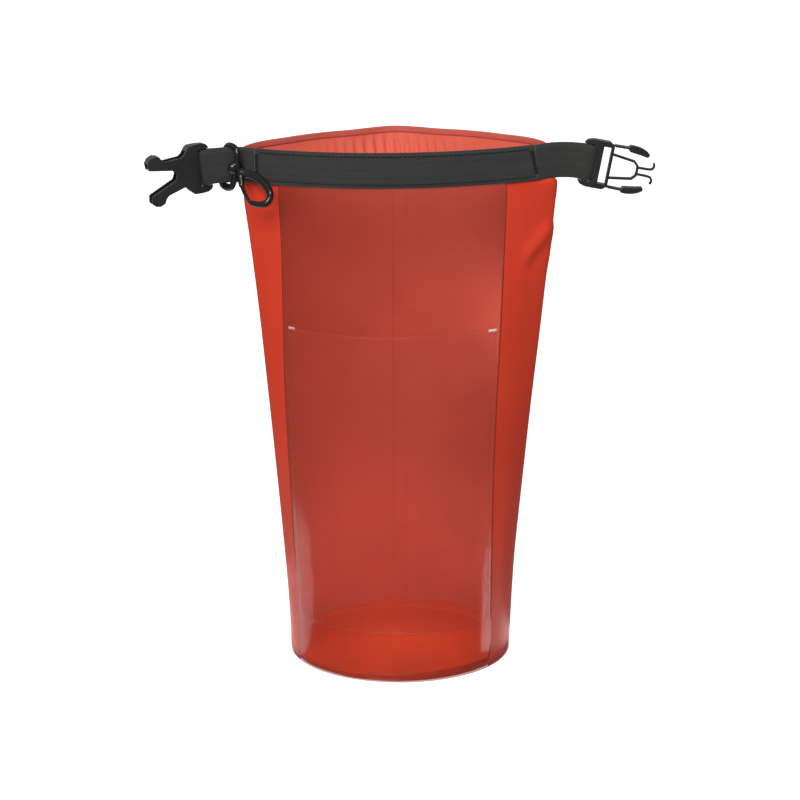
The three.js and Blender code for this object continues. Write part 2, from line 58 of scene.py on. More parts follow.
HEIGHT = 377.2 * MM
BASE_RADIUS = 80 * MM
NECK_Z = 333 * MM  # above this the mouth draws in to the rim
FLARE = 1.27  # how late the mouth's outline takes over from the base circle: 1 would be straight sides
FORWARD = 11.4 * MM  # the side folds of the mouth lie this far in front of the base's middle
MOUTH = {"half": 114.8 * MM, "front": 27 * MM, "back": 58.5 * MM, "dip": 0.0}
RIM = {"half": 106.8 * MM, "front": 29.4 * MM, "back": 75.7 * MM, "dip": 9.8 * MM}
RIM_SHIFT = -4.1 * MM
RIM_TILT = 0.0155
FRONT_SHARE = 0.455  # share of the outline in front of the two side folds
WINDOW = (0.0455, 0.375)  # the window's two edges, in turns
POCKET = {"from": 0.060, "to": 0.367, "low": 37 * MM, "high": 250 * MM}

SHEET = 0.6 * MM
FILM = 0.4 * MM
WEB_WIDTH = 25 * MM
WEB_THICK = 1.3 * MM
FOLD_X = 113.5 * MM  # the straps' fold lines stand upright at the bag's side folds


def smooth(x):
    x = min(max(x, 0.0), 1.0)
    return x * x * (3 - 2 * x)


def lerp(a, b, share):
    return a + (b - a) * share


def steps(low, high, count):
    return [lerp(low, high, i / count) for i in range(count + 1)]


# ---------------------------------------------------------------- the bag's surface


def draw_in(z):
    """How far the mouth has drawn in towards the rim at a height: 0 below the neck, 1 at the rim."""
    return smooth((z - NECK_Z) / (HEIGHT - NECK_Z))


def mouth_point(t, half, front, back, dip):
    """A point of the mouth's outline, two arcs that meet at the side folds.

    t runs along the front, then the back. The back arc sags by dip on both sides of its middle.
    """
    on_front = t < FRONT_SHARE
    bow = front if on_front else back
    radius = (half * half + bow * bow) / (2 * bow)
    most = math.asin(min(half / radius, 1.0))
    share = t / FRONT_SHARE if on_front else (1 - t) / (1 - FRONT_SHARE)
    angle = lerp(-most, most, share)
    x = radius * math.sin(angle)
    out = bow - radius * (1 - math.cos(angle))
    aside = abs(x) / half
    sag = dip * smooth(aside / 0.35) * smooth((1 - aside) / 0.3)
    return Vector((x, -out if on_front else out - sag))


def surface_point(turns, z):
    """A point of the bag's ideal surface, in plan."""
    t = turns % 1.0
    draw = draw_in(z)
    mouth = mouth_point(t, *(lerp(MOUTH[k], RIM[k], draw) for k in ("half", "front", "back", "dip")))
    mouth.x += RIM_SHIFT * draw
    mouth.y -= FORWARD
    angle = (t - FRONT_SHARE / 2) * 2 * math.pi - math.pi / 2
    base = Vector((math.cos(angle), math.sin(angle))) * BASE_RADIUS
    return base.lerp(mouth, max(z / HEIGHT, 0.0) ** FLARE)


SEAM_REACH = 0.016
SEAM_WANDER = (
    {"edge": WINDOW[0], "shift": 0.0125, "from": 190 * MM, "over": 140 * MM},
    {"edge": WINDOW[1], "shift": 0.0045, "from": NECK_Z, "over": 20 * MM},
)


def seam_shift(turns, z):
    """How far the window's two edges wander towards the top, as a shift of the sheet along the wall."""
    t = (turns + 0.5) % 1.0 - 0.5
    return sum(
        seam["shift"] * bump(t, seam["edge"], SEAM_REACH) * smooth((z - seam["from"]) / seam["over"])
        for seam in SEAM_WANDER
    )


def outward(turns, z):
    reach = 0.004
    along = (surface_point(turns + reach, z) - surface_point(turns - reach, z)).normalized()
    return Vector((along.y, -along.x))


def bump(x, centre, width):
    """A rounded hill, 1 at its centre."""
    return math.exp(-(((x - centre) / width) ** 2))


METRES_ROUND = 0.5  # about the way once round the bag


def ridge(turns, z, start, end, width):
    """A rounded ridge along a line on the bag, from one (turns, z) to another, fading at both ends."""
    line = Vector(((end[0] - start[0]) * METRES_ROUND, end[1] - start[1]))
    to = Vector(((turns - start[0]) * METRES_ROUND, z - start[1]))
    share = to.dot(line) / line.length_squared
    off = (to - line * share).length
    return bump(off, 0, width) * smooth(share * 3 + 0.5) * smooth((1 - share) * 3 + 0.5)


RIGHT_FOLD_Z = 311 * MM
CREASES = (  # height outwards, start and end as (turns, z), width
    (3.2 * MM, (0.410, RIGHT_FOLD_Z - 12 * MM), (0.449, RIGHT_FOLD_Z + 8 * MM), 4.4 * MM),
    (-0.5 * MM, (0.418, RIGHT_FOLD_Z - 24 * MM), (0.453, RIGHT_FOLD_Z - 2 * MM), 6 * MM),
    (-1.0 * MM, (0.20, 262 * MM), (0.26, 285 * MM), 9 * MM),
)
DENT_BROAD = 1.9
DENT_FINE = 0.42
SHOULDER = {"tall": 3.9, "from": 335 * MM, "rise": 20 * MM, "to": 355 * MM, "fall": 4 * MM, "width": 0.022}
BELOW_SHOULDER = {"tall": 1.5, "at": 306 * MM, "width": 15 * MM}
PLEATS = {"deep": 1.9, "per_turn": 72, "from": 338 * MM, "rise": 18 * MM, "width": 0.085}


def dents(t, z):
    """Broad and fine dents in mm, from noise that closes on itself round the bag."""
    angle = t * 2 * math.pi
    place = Vector((math.cos(angle) * 1.3, math.sin(angle) * 1.3, z * 9.0))
    broad = noise.noise(place + Vector((3.1, 0.7, 5.2)))
    fine = noise.noise(Vector((place.x * 4.2, place.y * 4.2, place.z * 1.1)) + Vector((9.0, 2.0, 1.0)))
    return DENT_BROAD * broad + DENT_FINE * fine


def right_shoulder(t, z):
    """The fullness of the right side fold just under the band and a little lower."""
    rise = smooth((z - SHOULDER["from"]) / SHOULDER["rise"])
    upper = SHOULDER["tall"] * rise * smooth((SHOULDER["to"] - z) / SHOULDER["fall"])
    below = BELOW_SHOULDER["tall"] * bump(z, BELOW_SHOULDER["at"], BELOW_SHOULDER["width"])
    return (upper + below) * MM * bump(t, FRONT_SHARE, SHOULDER["width"])


def rim_pleats(t, z):
    """Small upright pleats behind the rim, at the middle of the back."""
    room = smooth((z - PLEATS["from"]) / PLEATS["rise"]) * smooth((HEIGHT - 4 * MM - z) / (10 * MM))
    centre = (1 + FRONT_SHARE) / 2
    stray = 2.0 * noise.noise(Vector((t * 30, z * 12, 0)))
    wave = math.cos((t - centre) * 2 * math.pi * PLEATS["per_turn"] + stray)
    return PLEATS["deep"] * MM * wave * bump(t, centre, PLEATS["width"]) * room


def slack(turns, z):
    """How far the limp sheet stands off the ideal surface, outwards positive."""
    t = turns % 1.0
    held = smooth(z / (22 * MM)) * smooth((HEIGHT - 30 * MM - z) / (40 * MM))
    out = dents(t, z) * MM * held
    for tall, start, end, width in CREASES:
        out += tall * ridge(t, z, start, end, width)
    out += right_shoulder(t, z)
    out += rim_pleats(t, z)
    return out


def layer_point(turns, z, out):
    """A point of a layer at a distance outside the bag's limp surface."""
    flat = surface_point(turns, z) + outward(turns, z) * (out + slack(turns, z))
    return Vector((flat.x, flat.y, z + RIM_TILT * flat.x * draw_in(z)))


# ---------------------------------------------------------------- meshes


def mesh_object(name, points, faces, material, body, uvs=None):
    mesh = bpy.data.meshes.new(name)
    mesh.from_pydata([tuple(p) for p in points], [], faces)
    if uvs:
        layer = mesh.uv_layers.new(name="UVMap")
        for loop in mesh.loops:
            layer.data[loop.index].uv = uvs[loop.vertex_index]
    mesh.validate()
    mesh.update()
    for polygon in mesh.polygons:
        polygon.use_smooth = True
    piece = bpy.data.objects.new(name, mesh)
    bpy.context.scene.collection.objects.link(piece)
    mesh.materials.append(material)
    if body:
        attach(piece, body)
    return piece


def closed_grid(outer, inner, wrap=False):
    """Points and faces of a closed solid between two grids of the same size, the first one outside."""
    columns, rows = len(outer), len(outer[0])
    points = [p for grid in (outer, inner) for column in grid for p in column]

    def at(side, c, r):
        return (side * columns + c % columns) * rows + r

    faces = []
    last = columns if wrap else columns - 1
    for c in range(last):
        for r in range(rows - 1):
            faces.append((at(0, c, r), at(0, c + 1, r), at(0, c + 1, r + 1), at(0, c, r + 1)))
            faces.append((at(1, c, r), at(1, c, r + 1), at(1, c + 1, r + 1), at(1, c + 1, r)))
        faces.append((at(0, c + 1, 0), at(0, c, 0), at(1, c, 0), at(1, c + 1, 0)))
        top = rows - 1
        faces.append((at(0, c, top), at(0, c + 1, top), at(1, c + 1, top), at(1, c, top)))
    if not wrap:
        end = columns - 1
        for r in range(rows - 1):
            faces.append((at(0, 0, r), at(0, 0, r + 1), at(1, 0, r + 1), at(1, 0, r)))
            faces.append((at(0, end, r + 1), at(0, end, r), at(1, end, r), at(1, end, r + 1)))
    return points, faces


def skin(name, material, turns, levels, inner, outer, lift=None, wrap=False, inside=None):
    """A layer of the bag between two offsets, with UVs in metres on the sheet.

    lift(across, up) raises it further. inside is the material of the face towards the inside of the bag,
    where it differs.
    """

    def grid(out):
        rows = []
        for c, t in enumerate(turns):
            across = c / max(len(turns) - 1, 1)
            column = []
            for r, z in enumerate(levels):
                up = r / max(len(levels) - 1, 1)
                more = lift(across, up) if lift else 0.0
                column.append(layer_point(t + seam_shift(t, z), z, out + more))
            rows.append(column)
        return rows

    points, faces = closed_grid(grid(outer), grid(inner), wrap)
    uvs = [(t * METRES_ROUND, z) for _ in range(2) for t in turns for z in levels]
    layer = mesh_object(name, points, faces, material, "bag", uvs)
    if inside:
        layer.data.materials.append(inside)
    half = len(points) // 2
    for polygon in layer.data.polygons:
        faces_in = min(polygon.vertices) >= half
        cut_edge = not faces_in and max(polygon.vertices) >= half
        polygon.use_smooth = not cut_edge
        if inside and faces_in:
            polygon.material_index = 1
    return layer


# ---------------------------------------------------------------- materials


class Shader:
    """A material with one Principled shader and the procedural nodes that feed it."""

    def __init__(self, name, color, roughness, **sockets):
        self.material = bpy.data.materials.new(name)
        self.material.use_nodes = True
        self.tree = self.material.node_tree
        self.bsdf = self.tree.nodes["Principled BSDF"]
        self.set("Base Color", (*color, 1.0))
        self.set("Roughness", roughness)
        for socket, value in sockets.items():
            self.set(socket.replace("_", " "), value)
        self.place = self.tree.nodes.new("ShaderNodeTexCoord").outputs["Object"]

    def set(self, socket, value):
        self.bsdf.inputs[socket].default_value = value

    def link(self, output, socket):
        self.tree.links.new(output, self.bsdf.inputs[socket])

    def node(self, kind, values=(), **settings):
        node = self.tree.nodes.new(kind)
        for key, value in settings.items():
            setattr(node, key, value)
        for socket, value in dict(values).items():
            target = node.inputs[socket]
            if isinstance(value, bpy.types.NodeSocket):
                self.tree.links.new(value, target)
            else:
                target.default_value = value
        return node

    def stretched(self, x, y, z):
        """The object's own place, squeezed by a factor along each axis."""
        return self.node("ShaderNodeMapping", {"Vector": self.place, "Scale": (x, y, z)}).outputs["Vector"]

    def noise(self, scale, detail=2.0, vector=None):
        values = {"Vector": vector or self.place, "Scale": scale, "Detail": detail, "Roughness": 0.5}
        return self.node("ShaderNodeTexNoise", values).outputs["Fac"]

    def math(self, operation, a, b=0.0):
        return self.node("ShaderNodeMath", {0: a, 1: b}, operation=operation).outputs["Value"]

    def range(self, value, low, high, to_low, to_high):
        values = {"Value": value, "From Min": low, "From Max": high, "To Min": to_low, "To Max": to_high}
        return self.node("ShaderNodeMapRange", values).outputs["Result"]

    def mix(self, share, a, b):
        node = self.tree.nodes.new("ShaderNodeMix")
        node.data_type = "RGBA"
        self.tree.links.new(share, node.inputs["Factor"])
        for socket, value in (("A", a), ("B", b)):
            target = [i for i in node.inputs if i.name == socket and i.type == "RGBA"][0]
            if isinstance(value, bpy.types.NodeSocket):
                self.tree.links.new(value, target)
            else:
                target.default_value = (*value, 1.0)
        return [o for o in node.outputs if o.type == "RGBA"][0]

    def bump(self, height, distance, strength=1.0, below=None):
        values = {"Height": height, "Distance": distance, "Strength": strength}
        if below:
            values["Normal"] = below
        return self.node("ShaderNodeBump", values).outputs["Normal"]


def coated_sheet(name, color, shade, roughness=0.42, grain=0.5):
    """Red coated cloth: a soft gloss, a faint grain of the cloth and a little uneven colour."""
    s = Shader(name, color, roughness, Specular_IOR_Level=0.05)
    cloud = s.noise(14, 3.0)
    s.link(s.mix(s.range(cloud, 0.35, 0.68, 0.0, 1.0), color, shade), "Base Color")
    s.link(s.range(s.noise(38, 2.0), 0.3, 0.7, roughness - 0.06, roughness + 0.08), "Roughness")
    soft = s.bump(s.noise(46, 3.0), 0.0011, 0.35)
    s.link(s.bump(s.noise(1300, 1.0), 0.00003, grain, soft), "Normal")
    return s.material


def clear_film(name, color, shade, alpha, roughness, ripple):
    """Clear plastic film: glossy, slightly rippled, with faint cloudy patches."""
    s = Shader(name, color, roughness, Alpha=alpha, Specular_IOR_Level=0.35)
    cloud = s.noise(9, 2.0)
    s.link(s.mix(s.range(cloud, 0.35, 0.7, 0.0, 1.0), color, shade), "Base Color")
    s.link(s.range(s.noise(21, 2.0), 0.3, 0.7, alpha - 0.03, alpha + 0.03), "Alpha")
    waves = s.bump(s.noise(30, 2.0, vector=s.stretched(1, 1, 0.35)), 0.0012, ripple)
    s.link(waves, "Normal")
    return s.material


def webbing_weave(name, color, light):
    """Black polyester webbing: a fine diagonal weave in the sheet's own metres, with soft fuzz."""
    s = Shader(name, color, 0.78, Sheen_Weight=0.25, Sheen_Roughness=0.5, Specular_IOR_Level=0.3)
    uv = s.node("ShaderNodeUVMap", uv_map="UVMap").outputs["UV"]
    split = s.node("ShaderNodeSeparateXYZ", {"Vector": uv})
    along, across = split.outputs["X"], split.outputs["Y"]
    pitch_along = 2 * math.pi / (1.9 * MM)
    pitch_across = 2 * math.pi / (1.35 * MM)
    a = s.math("MULTIPLY", along, pitch_along)
    b = s.math("MULTIPLY", across, pitch_across)
    twill = s.math("SINE", s.math("ADD", a, s.math("MULTIPLY", b, 0.5)))
    rib = s.math("SINE", b)
    height = s.math("MULTIPLY", s.math("ADD", twill, 1.0), s.math("ADD", rib, 1.4))
    share = s.range(height, 0.0, 4.6, 0.0, 1.0)
    lengthwise = s.node("ShaderNodeMapping", {"Vector": uv, "Scale": (7, 300, 1)}).outputs["Vector"]
    streak = s.range(s.noise(1.0, 2.0, vector=lengthwise), 0.35, 0.65, 0.35, 1.15)
    fuzz = s.range(s.noise(60, 2.0), 0.3, 0.7, 0.6, 1.1)
    worn = s.math("MULTIPLY", share, s.math("MULTIPLY", streak, fuzz))
    s.link(s.mix(worn, color, light), "Base Color")
    weave = s.bump(share, 0.00022, 0.9)
    s.link(s.bump(s.noise(900, 1.0), 0.00008, 0.5, weave), "Normal")
    return s.material


def moulded(name, color, roughness):
    """Black moulded acetal: satin, with a fine spark-eroded grain and slightly duller patches."""
    s = Shader(name, color, roughness, Specular_IOR_Level=0.45)
    duller = tuple(c * 1.7 for c in color)
    s.link(s.mix(s.range(s.noise(70, 3.0), 0.35, 0.7, 0.0, 1.0), color, duller), "Base Color")
    s.link(s.range(s.noise(160, 2.0), 0.3, 0.7, roughness - 0.05, roughness + 0.09), "Roughness")
    s.link(s.bump(s.noise(2200, 1.0), 0.00003, 0.5), "Normal")
    return s.material


def thread(name, color):
    """Twisted sewing thread."""
    s = Shader(name, color, 0.75, Specular_IOR_Level=0.2)
    s.link(s.bump(s.noise(3200, 1.0), 0.00008, 0.8), "Normal")
    return s.material


RED = coated_sheet("coated_red", (0.60, 0.049, 0.022), (0.54, 0.042, 0.019))
# The inner face is paler cloth; its lighter colour is also partly painted light, standing in for light coming
# through the sheet.
RED_INSIDE_AND_PAINTED_LIGHT = coated_sheet("inside_red_and_painted_light", (0.66, 0.125, 0.084), (0.61, 0.11, 0.072), 0.6, 0.1)
RED_HEM = coated_sheet("hem_red", (0.50, 0.105, 0.08), (0.45, 0.092, 0.07), 0.5)
# The base's cloth is a brighter, more orange copy of the red sheet: painted light on the bag's lit floor.
RED_BASE_PAINTED_LIGHT = coated_sheet("base_red_painted_light", (0.74, 0.074, 0.018), (0.68, 0.064, 0.015), 0.45)
RED_TAPE = coated_sheet("tape_red", (0.75, 0.13, 0.085), (0.69, 0.115, 0.073), 0.6)
# The window film's dark red tint is painted shade: it darkens the clear film to stand in for the shade inside
# the bag.
WINDOW_FILM_PAINTED_SHADE = clear_film("window_film", (0.30, 0.030, 0.015), (0.26, 0.025, 0.012), 0.36, 0.16, 0.3)
POCKET_FILM = clear_film("pocket_film", (0.52, 0.07, 0.045), (0.48, 0.06, 0.04), 0.08, 0.10, 0.4)
# The pocket's welds are real; their lighter colour is partly a painted highlight along the pocket's edges.
WELD_LINE_AND_HIGHLIGHT = clear_film("pocket_weld_and_highlight", (0.62, 0.12, 0.09), (0.45, 0.06, 0.04), 0.16, 0.2, 0.3)
# Painted glints: near-white film tabs at the pocket's top corners stand in for highlights, the left one
# fainter than the right.
PAINTED_GLINT = clear_film("pocket_corner_glint", (0.95, 0.75, 0.72), (0.9, 0.7, 0.68), 0.8, 0.2, 0.2)
PAINTED_GLINT_FAINT = clear_film("pocket_corner_glint_soft", (0.9, 0.62, 0.58), (0.85, 0.55, 0.52), 0.45, 0.2, 0.2)
FOOT_FILM = clear_film("base_weld_film", (0.60, 0.06, 0.030), (0.55, 0.05, 0.026), 0.14, 0.25, 0.3)
WEBBING = webbing_weave("webbing", (0.013, 0.013, 0.012), (0.036, 0.035, 0.034))
BLACK = moulded("moulded_black", (0.006, 0.006, 0.006), 0.27)
HOOK_BLACK = moulded("hook_black", (0.004, 0.004, 0.004), 0.17)
THREAD = thread("thread_black", (0.006, 0.006, 0.006))


# ---------------------------------------------------------------- body, window, base

LEVELS = steps(0.6 * MM, NECK_Z, 66) + steps(NECK_Z, HEIGHT - 0.5 * MM, 22)[1:]
WINDOW_LAP = 0.0006  # how far the film laps over the red sheet on each side, in turns


def make_body():
    """The red sheet runs from the window's right edge round the back to its left, the film laps over both."""
    around = steps(WINDOW[1], 1 + WINDOW[0], 220)
    # The inner face's paler colour is partly painted light coming through the sheet.
    body = skin("bag_body_sheet", RED, around, LEVELS, -SHEET / 2, SHEET / 2, inside=RED_INSIDE_AND_PAINTED_LIGHT)
    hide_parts("body_sheet")

    across = steps(WINDOW[0] - WINDOW_LAP, WINDOW[1] + WINDOW_LAP, 120)
    rest = SHEET / 2 + 0.05 * MM
    # The film carries a painted shade tint for the dark inside of the bag.
    window = skin("front_window_film_painted_shade", WINDOW_FILM_PAINTED_SHADE, across, LEVELS, rest, rest + FILM / 2)
    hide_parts("front_window")


def make_base():
    """A disc with its rim turned up inside the wall, pressed up a little in the middle."""
    rings, sides = 26, 128
    rim = BASE_RADIUS - SHEET / 2 - 0.2 * MM

    def turn_up(angle):
        """The turned-up edge is taller on the right of the far side and has a pinched crest at its middle."""
        x, y = math.cos(angle), math.sin(angle)
        return (3.6 + 3.2 * smooth(x * 0.8 + 0.5) + 5.0 * bump(x, -0.08, 0.09) * (y > 0)) * MM

    def profile(share, under, angle):
        sheet = 0.0 if under else SHEET
        flat = 0.86
        if share <= flat:
            r = rim * 0.985 * share / flat
            dome = 1.6 * MM * (1 - (share / flat) ** 2)
            return r, 0.2 * MM + sheet + dome
        up = (share - flat) / (1 - flat)
        radius = rim * lerp(0.985, 1.0, smooth(up * 2)) - sheet
        return radius, 0.2 * MM + sheet + turn_up(angle) * up**1.3

    def ring(side):
        columns = []
        for c in range(sides):
            angle = 2 * math.pi * c / sides
            column = []
            for r in range(rings + 1):
                radius, z = profile(0.001 + 0.999 * r / rings, side == 0, angle)
                x, y = radius * math.cos(angle), radius * math.sin(angle)
                wave = 0.3 * MM * (noise.noise(Vector((x * 40, y * 40, 0))) + 0.7)
                column.append(Vector((x, y, z + wave)))
            columns.append(column)
        return columns

    points, faces = closed_grid(ring(0), ring(1), wrap=True)
    # The disc's brighter colour is painted light on the bag's lit floor.
    base = mesh_object("base_sheet", points, faces, RED_BASE_PAINTED_LIGHT, "bag")
    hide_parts("base_disc")

    low = steps(0.5 * MM, 7 * MM, 8)
    start = SHEET / 2 + FILM + 0.12 * MM

    def roll(across, up):
        return 0.15 * MM * math.sin(math.pi * min(up * 1.15, 1.0))

    around = steps(0, 1, 200)[:-1]
    hem = skin("base_weld_hem", FOOT_FILM, around, low, start, start + 0.25 * MM, lift=roll, wrap=True)
    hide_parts("base_hem")


def make_tapes():
    """Weld tapes inside the seams, and the turned hem of the rim's back half."""
    inside = -SHEET / 2 - 0.01 * MM
    half = 0.0105
    aside = 0.0095
    for node, middle in (
        ("window_tape_left", WINDOW[0] - aside),
        ("window_tape_right", WINDOW[1] + aside),
        ("back_seam_tape", (1 + FRONT_SHARE) / 2),
    ):
        levels = [z for z in LEVELS if 2 * MM < z < 350 * MM]
        turns = steps(middle - half, middle + half, 8)
        tape = skin(f"{node}_strip", RED_INSIDE_AND_PAINTED_LIGHT, turns, levels, inside - 0.03 * MM, inside)
        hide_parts(node)

    low, high = HEIGHT - 4.4 * MM, HEIGHT + 0.1 * MM

    def crown(across, up):
        return -0.25 * MM * math.sin(math.pi * up)

    hem = skin(
        "rim_hem_fold",
        RED_HEM,
        steps(FRONT_SHARE + 0.002, 0.998, 150),
        steps(low, high, 6),
        inside - 0.6 * MM,
        inside,
        lift=crown,
    )
    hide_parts("rim_hem")


# ---------------------------------------------------------------- pocket


def make_pocket():
    rest = SHEET / 2 + FILM + 0.15 * MM

    def swell(across, up):
        edge = math.sin(math.pi * min(max(across, 0), 1)) ** 0.7
        ripple = 0.5 * MM * noise.noise(Vector((across * 6, up * 5, 2.0))) * edge
        return 4.2 * MM * edge * math.sin(math.pi / 2 * smooth(up * 1.3)) + ripple

    across = steps(POCKET["from"], POCKET["to"], 90)
    levels = steps(POCKET["low"], POCKET["high"], 80)
    sheet = skin("pocket_film_sheet", POCKET_FILM, across, levels, rest, rest + 0.3 * MM, lift=swell)
    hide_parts("pocket_sheet")

    def strip(name, turns, heights, material):
        piece = skin(name, material, turns, heights, rest + 0.34 * MM, rest + (0.34 + 0.25) * MM)

    wide = 0.0016
    # Weld strips lighter than the film: real welds, partly a painted highlight along the edges.
    strip("pocket_weld_and_highlight_left", steps(POCKET["from"] - 0.001, POCKET["from"] + wide, 3), levels, WELD_LINE_AND_HIGHLIGHT)
    strip("pocket_weld_and_highlight_right", steps(POCKET["to"] - wide, POCKET["to"] + 0.001, 3), levels, WELD_LINE_AND_HIGHLIGHT)
    foot = steps(POCKET["low"] - 0.5 * MM, POCKET["low"] + 0.5 * MM, 2)
    strip("pocket_weld_and_highlight_foot", across, foot, WELD_LINE_AND_HIGHLIGHT)
    top = steps(POCKET["high"] - 1.2 * MM, POCKET["high"] + 0.6 * MM, 2)
    tab = 0.013
    # Painted glints at the pocket's top corners, the right one brighter.
    strip("pocket_corner_glint_left", steps(POCKET["from"], POCKET["from"] + tab, 6), top, PAINTED_GLINT_FAINT)
    strip("pocket_corner_glint_right", steps(POCKET["to"] - tab, POCKET["to"], 6), top, PAINTED_GLINT)


# ---------------------------------------------------------------- webbing


EDGE_THIN = 0.35  # thickness of the webbing's edge, as a share of its middle


def ribbon(name, path, ups, width, thick, material, body):
    """Webbing along a path. ups gives the direction across its width at each point."""
    count = len(path)
    section = []
    rows = 9
    for side in (1, -1):
        for r in range(rows):
            across = lerp(-0.5, 0.5, r / (rows - 1)) * side
            from_edge = min(r, rows - 1 - r) / 1.6
            full = min(1.0, EDGE_THIN + (1 - EDGE_THIN) * min(from_edge, 1.0))
            section.append((across, side * 0.5 * full))
    points, uvs, faces = [], [], []
    travelled = 0.0
    for i, p in enumerate(path):
        before, after = path[max(i - 1, 0)], path[min(i + 1, count - 1)]
        along = (after - before).normalized()
        up = (ups[i] - along * ups[i].dot(along)).normalized()
        out = along.cross(up)
        if i:
            travelled += (p - path[i - 1]).length
        for across, depth in section:
            points.append(p + up * (across * width) + out * (depth * thick))
            uvs.append((travelled, across * width))
    n = len(section)
    for i in range(count - 1):
        for k in range(n):
            a, b = i * n + k, i * n + (k + 1) % n
            faces.append((a, b, b + n, a + n))
    faces.append(tuple(reversed(range(n))))
    faces.append(tuple(range((count - 1) * n, count * n)))
    return mesh_object(name, points, faces, material, body, uvs)


BAND_REST = SHEET / 2 + FILM + 1.3 * MM
BAND_ENDS = (0.022, FRONT_SHARE - 0.022)


def band_point(turns):
    """The middle of the webbing band along the front of the mouth, and the direction across its width."""
    z = HEIGHT - WEB_WIDTH / 2
    top = layer_point(turns, HEIGHT - 1 * MM, BAND_REST)
    low = layer_point(turns, HEIGHT - WEB_WIDTH + 1 * MM, BAND_REST)
    up = (top - low).normalized()
    return layer_point(turns, z, BAND_REST), up


def make_band():
    turns = steps(*BAND_ENDS, 120)
    path, ups = zip(*(band_point(t) for t in turns))
    band = ribbon("webbing_band", list(path), list(ups), WEB_WIDTH, WEB_THICK, WEBBING, "bag")
    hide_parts("front_band")

    back = SHEET / 2 + FILM + 0.08 * MM
    strip = skin(
        "stiffener_strip",
        RED_TAPE,
        steps(0.03, FRONT_SHARE - 0.03, 80),
        steps(HEIGHT - 22 * MM, HEIGHT - 2 * MM, 3),
        back,
        back + 0.45 * MM,
    )
    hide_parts("front_stiffener")


def stitches(name, places, normals, radius, body, node):
    """A row of short threads, each a small rounded bar along the row that dips at its ends."""
    points, faces = [], []
    sides, rings = 6, 6
    for (start, end), normal in zip(places, normals):
        along = end - start
        direction = along.normalized()
        side = direction.cross(normal).normalized()
        first = len(points)
        for i in range(rings + 1):
            share = i / rings
            dip = radius * (1.1 * math.sin(math.pi * share) - 0.35)
            thick = radius * (0.55 + 0.45 * math.sin(math.pi * share))
            centre = start + along * share + normal * dip
            for k in range(sides):
                angle = 2 * math.pi * k / sides
                points.append(centre + (side * math.cos(angle) + normal * math.sin(angle)) * thick)
        for i in range(rings):
            for k in range(sides):
                a, b = first + i * sides + k, first + i * sides + (k + 1) % sides
                faces.append((a, a + sides, b + sides, b))
        faces.append(tuple(first + k for k in range(sides)))
        faces.append(tuple(first + rings * sides + k for k in reversed(range(sides))))
    piece = mesh_object(name, points, faces, THREAD, body)
    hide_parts(node)


def band_surface(turns, across):
    """A point on the band's outer face, across metres above its middle, and the way it faces."""
    centre, up = band_point(turns)
    flat = outward(turns, HEIGHT - WEB_WIDTH / 2)
    normal = Vector((flat.x, flat.y, 0)).normalized()
    return centre + up * across + normal * WEB_THICK / 2, normal


def make_stitching():
    for name, node, across in (
        ("stitch_row_top", "band_stitch_top", WEB_WIDTH / 2 - 2.8 * MM),
        ("stitch_row_bottom", "band_stitch_bottom", -WEB_WIDTH / 2 + 2.8 * MM),
    ):
        count = 62
        edges = steps(0.03, FRONT_SHARE - 0.03, count)
        places, normals = [], []
        for a, b in zip(edges, edges[1:]):
            start, normal = band_surface(lerp(a, b, 0.08), across)
            end, _ = band_surface(lerp(a, b, 0.92), across)
            places.append((start, end))
            normals.append(normal)
        stitches(name, places, normals, 0.28 * MM, "bag", node)

    for name, node, turns in (
        ("bartack_left", "band_bartack_left", BAND_ENDS[0] + 0.004),
        ("bartack_right", "band_bartack_right", BAND_ENDS[1] - 0.004),
    ):
        places, normals = [], []
        rows = 17
        for i in range(rows):
            across = lerp(-8 * MM, 8 * MM, i / (rows - 1))
            lean = 0.0008 if i % 2 else -0.0008
            start, normal = band_surface(turns - 0.0035 + lean, across)
            end, _ = band_surface(turns + 0.0035 + lean, across + 0.4 * MM)
            places.append((start, end))
            normals.append(normal)
        stitches(name, places, normals, 0.3 * MM, "bag", node)


# ---------------------------------------------------------------- straps and buckles

STRAP_START = 1 * MM  # the strap stands free of the band from here
STRAP_Z = HEIGHT - WEB_WIDTH / 2
SOCKET = {"side": -1, "forward": 6, "reach": 23.6 * MM, "lean": 6.5, "turn": 14, "slack": 0.0}
PLUG = {"side": 1, "forward": 0, "reach": 17.8 * MM, "lean": -10.5, "turn": 0, "slack": 1.3 * MM}
BAR_RADIUS = 1.75 * MM
LOOP_RADIUS = BAR_RADIUS + 0.25 * MM + WEB_THICK / 2


def basis(origin, x, y, z):
    return Matrix.Translation(origin) @ Matrix((x, y, z)).transposed().to_4x4()


def strap_frame(strap):
    """Origin on the strap's fold line, X along it away from the bag, Y towards the back."""
    side, turn = strap["side"], math.radians(strap["forward"])
    along = Vector((side * math.cos(turn), -math.sin(turn), 0))
    up = Vector((0, 0, side))
    origin = Vector((side * FOLD_X, -FORWARD, STRAP_Z + side * RIM_TILT * FOLD_X))
    return basis(origin, along, up.cross(along), up)


def strap_bend(strap, x):
    """How far the strap has slanted and dropped at a distance along it."""
    share = (x - STRAP_START) / strap["reach"]
    turned = min(max(share, 0), 1)
    slant = math.radians(strap["lean"])
    drop = strap["reach"] * math.tan(slant) * (turned**3 - turned**4 / 2 + max(share - 1, 0))
    return slant * smooth(share), drop


def hermite(start, leaving, end, arriving, s):
    """A point on a smooth curve that leaves start and reaches end along the given speeds."""
    blend = (2 * s**3 - 3 * s**2 + 1, s**3 - 2 * s**2 + s, -2 * s**3 + 3 * s**2, s**3 - s**2)
    return start * blend[0] + leaving * blend[1] + end * blend[2] + arriving * blend[3]


